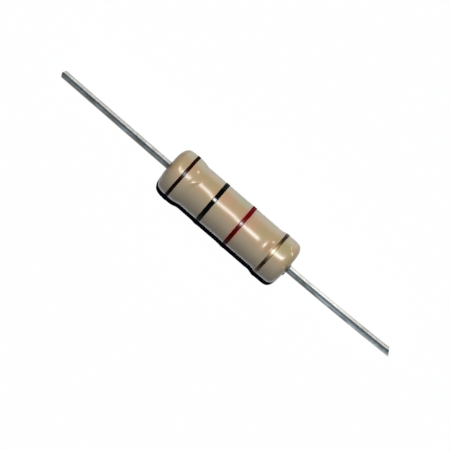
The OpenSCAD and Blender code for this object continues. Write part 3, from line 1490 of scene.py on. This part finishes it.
@dataclass
class Studio:
    """Floor, lamps, surroundings and camera."""

    image_side: int = 450
    px_per_mm: float = 10.12
    body_px: tuple[float, float] = (229.2, 216.0)
    axis_angle: float = math.radians(41)
    distance: float = 0.4
    sensor: float = 0.036
    floor_side: float = 4.0
    floor_tone: float = 0.9
    floor_lamp_tilt: float = math.radians(8.4)
    floor_lamp_width: float = math.radians(0.6)
    floor_lamp: float = 3.5
    lamp_distance: float = 0.3
    key: SoftLamp = SoftLamp("key", 21.0, 0.07, 0.83)
    fill: SoftLamp = SoftLamp("fill", -105, 0.3, 0.026, shines=False)
    under_fill: SoftLamp = SoftLamp("under_fill", -158, 0.3, 0.4, shines=False)
    rim_shine: SoftLamp = SoftLamp("rim_shine", 122, 0.26, 1.3, tints=False, colour=(0.44, 0.80, 0.90))
    wire_shine: SoftLamp = SoftLamp("wire_shine", 58, 0.30, 0.36, tints=False)
    ambient: Colour = shade(0.0015, 0.0022, 0.0055)
    ceiling: Colour = shade(0.025, 0.025, 0.025)
    cool_side: Colour = shade(0.41, 0.54, 0.66)
    horizon_span: Span = (0.0, 0.08)
    cool_span: Span = (-0.1, -0.5)

    def add_camera(self) -> None:
        """Looks straight down at the resistor, turned and placed as the photograph frames it."""
        data = bpy.data.cameras.new("camera")
        camera = bpy.data.objects.new("camera", data)
        bpy.context.scene.collection.objects.link(camera)
        bpy.context.scene.camera = camera
        cos, sin = math.cos(self.axis_angle), math.sin(self.axis_angle)
        right, up = Vector((cos, sin, 0)), Vector((-sin, cos, 0))
        middle = self.image_side / 2
        across = (middle - self.body_px[0]) / self.px_per_mm * MM
        down = (middle - self.body_px[1]) / self.px_per_mm * MM
        camera.location = right * across - up * down + Vector((0, 0, self.distance))
        camera.rotation_euler = (0, 0, self.axis_angle)
        field_side = self.image_side / self.px_per_mm * MM
        data.sensor_width = self.sensor / MM
        data.lens = data.sensor_width * self.distance / field_side

    def add_floor(self) -> bpy.types.Object:
        """Lays a plain pale floor under the resistor, which lends no light to the part.

        Returns:
            The floor.
        """
        half, z = self.floor_side / 2, cad_box[0].z
        mesh = bpy.data.meshes.new("floor")
        corners = [(-half, -half, z), (half, -half, z), (half, half, z), (-half, half, z)]
        mesh.from_pydata(corners, [], [(0, 1, 2, 3)])
        floor = bpy.data.objects.new("floor", mesh)
        bpy.context.scene.collection.objects.link(floor)
        material, sheet, shader = new_material("pale_floor")
        seen = sheet.math("MAXIMUM", *self._sees_backdrop(sheet))
        tone = sheet.blend(seen, BLACK, shade(*(self.floor_tone,) * 3))
        sheet.feed(shader, {"Base Color": tone, "Roughness": 1.0, "Specular IOR Level": 0.0})
        mesh.materials.append(material)
        return floor

    @staticmethod
    def _sees_backdrop(sheet: NodeSheet) -> tuple[bpy.types.NodeSocket, bpy.types.NodeSocket]:
        """Tells which rays see the backdrop.

        Args:
            sheet: the sheet of the floor or of the world.

        Returns:
            1 for the camera's rays, and 1 for those of mirrors and glass before any diffuse bounce.
        """
        rays = sheet.add("LightPath").outputs
        mirrored = sheet.math("MAXIMUM", rays["Is Glossy Ray"], rays["Is Transmission Ray"])
        return rays["Is Camera Ray"], sheet.math("GREATER_THAN", mirrored, rays["Diffuse Depth"])

    def _put(self, data: bpy.types.Light, direction: Vector) -> bpy.types.Object:
        """Puts a lamp in the scene, facing the origin.

        Args:
            data: the lamp's light.
            direction: where it stands, seen from the origin.

        Returns:
            The lamp.
        """
        lamp = bpy.data.objects.new(data.name, data)
        bpy.context.scene.collection.objects.link(lamp)
        lamp.location = direction.normalized() * self.lamp_distance
        lamp.rotation_mode = "QUATERNION"
        lamp.rotation_quaternion = direction.to_track_quat("Z", "Y")
        return lamp

    @staticmethod
    def _link(lamp: bpy.types.Object, lit: list[bpy.types.Object], shades: list[bpy.types.Object]) -> None:
        """Lets a lamp light and be blocked by some pieces alone.

        Args:
            lamp: the lamp.
            lit: the pieces that it lights.
            shades: the pieces that block it.
        """
        groups = [bpy.data.collections.new(word + lamp.name) for word in ("lit by ", "shades ")]
        for group, members in zip(groups, (lit, shades)):
            for member in members:
                group.objects.link(member)
        lamp.light_linking.receiver_collection, lamp.light_linking.blocker_collection = groups

    def _hang(self, plan: SoftLamp, lit: list[bpy.types.Object]) -> None:
        """Makes a soft lamp.

        Args:
            plan: its place, size and light.
            lit: the pieces that it lights.
        """
        data = bpy.data.lights.new(plan.name, "AREA")
        data.shape, data.size, data.energy, data.color = "DISK", plan.width, plan.watts, plan.colour
        tilt = math.radians(plan.tilt)
        lamp = self._put(data, Vector((0.0, math.sin(tilt), math.cos(tilt))))
        lamp.visible_camera = False
        lamp.visible_glossy = plan.shines
        lamp.visible_diffuse = plan.tints
        self._link(lamp, lit, lit)

    def add_lamps(
        self,
        floor: bpy.types.Object,
        shell: list[bpy.types.Object],
        leads: list[bpy.types.Object],
        inner: list[bpy.types.Object],
    ) -> None:
        """Soft lamps for the resistor, and an overhead lamp that gives the floor its thin shadow.

        Args:
            floor: the floor.
            shell: the lacquered body, then its bands, which alone shade the floor.
            leads: the two leads.
            inner: the pieces inside the lacquer.
        """
        self._hang(self.key, shell + inner)
        self._hang(self.fill, shell + leads + inner)
        self._hang(self.under_fill, shell)
        self._hang(self.rim_shine, shell[:1])
        self._hang(self.wire_shine, leads)
        data = bpy.data.lights.new("overhead", "SUN")
        data.angle, data.energy = self.floor_lamp_width, self.floor_lamp
        self._link(self._put(data, Vector((0.0, math.tan(self.floor_lamp_tilt), 1.0))), [floor], shell)

    def add_surroundings(self) -> None:
        """A white background for the camera, and a dim room for light and reflections."""
        world = bpy.data.worlds.new("studio")
        bpy.context.scene.world = world
        world.use_nodes = True
        world.node_tree.nodes.clear()
        sheet = NodeSheet(world.node_tree)
        way = sheet.add("SeparateXYZ", {0: sheet.add("TexCoord").outputs["Generated"]}).outputs
        room = sheet.blend(sheet.step(way["Y"], *self.cool_span), self.ceiling, self.cool_side)
        backdrop = sheet.blend(sheet.step(way["Z"], *self.horizon_span), WHITE, room)
        seen, mirrored = self._sees_backdrop(sheet)
        colour = sheet.blend(seen, sheet.blend(mirrored, self.ambient, backdrop), WHITE)
        sky = sheet.add("Background", {"Color": colour, "Strength": 1.0})
        sheet.add("OutputWorld", {"Surface": sky.outputs[0]})
        bpy.context.scene.view_settings.view_transform = "Standard"


def make_bands(body: LacquerBody) -> list[ColourBand]:
    """The four bands, from the left end to the right.

    Args:
        body: the lacquer that they are printed on.

    Returns:
        The bands.
    """
    plans = (
        ("brown", BROWN_PAINT, 1.71 * MM - body.body_half, 0.37 * MM, 11.0, math.radians(0.6)),
        ("black", BLACK_PAINT, -2.11 * MM, 0.49 * MM, 23.0, 0.0),
        ("red", RED_PAINT, 1.4 * MM, 0.45 * MM, 37.0, 0.0),
        ("gold", GoldPaint(), body.body_half - 2.19 * MM, 0.38 * MM, 51.0, math.radians(1.0)),
    )
    bands = []
    for tint, paint, place, width, seed, skew in plans:
        names = (tint + "_band_paint", tint + "_band", tint + "_paint")
        bands.append(ColourBand(*names, paint, body, place, width, seed, skew))
    return bands


def main() -> None:
    """Builds the studio and each piece of the resistor, in order."""
    logging.basicConfig(level=logging.INFO, format="%(message)s")
    studio = Studio()
    studio.add_camera()
    effects = EffectKit()
    body = LacquerBody()
    shell = [body.dress(effects)]
    shell += [band.dress(effects) for band in make_bands(body)]
    wire = TINNED_WIRE.material(effects)
    leads = [
        WireLead(Side.LEFT, 0.0, body.lead_drop, 0.0, (0.2 * MM, 0.2 * MM)).dress(wire),
        WireLead(Side.RIGHT, 0.045 * MM, body.lead_drop, -0.99, (0.0, 0.52 * MM)).dress(wire),
    ]
    inner = InnerWorks().dress(effects)
    for piece in shell + leads + inner:
        log.info("%s: %d faces", piece.name, len(piece.data.polygons))
    studio.add_lamps(studio.add_floor(), shell, leads, inner)
    studio.add_surroundings()


if __name__ == "__main__":
    main()
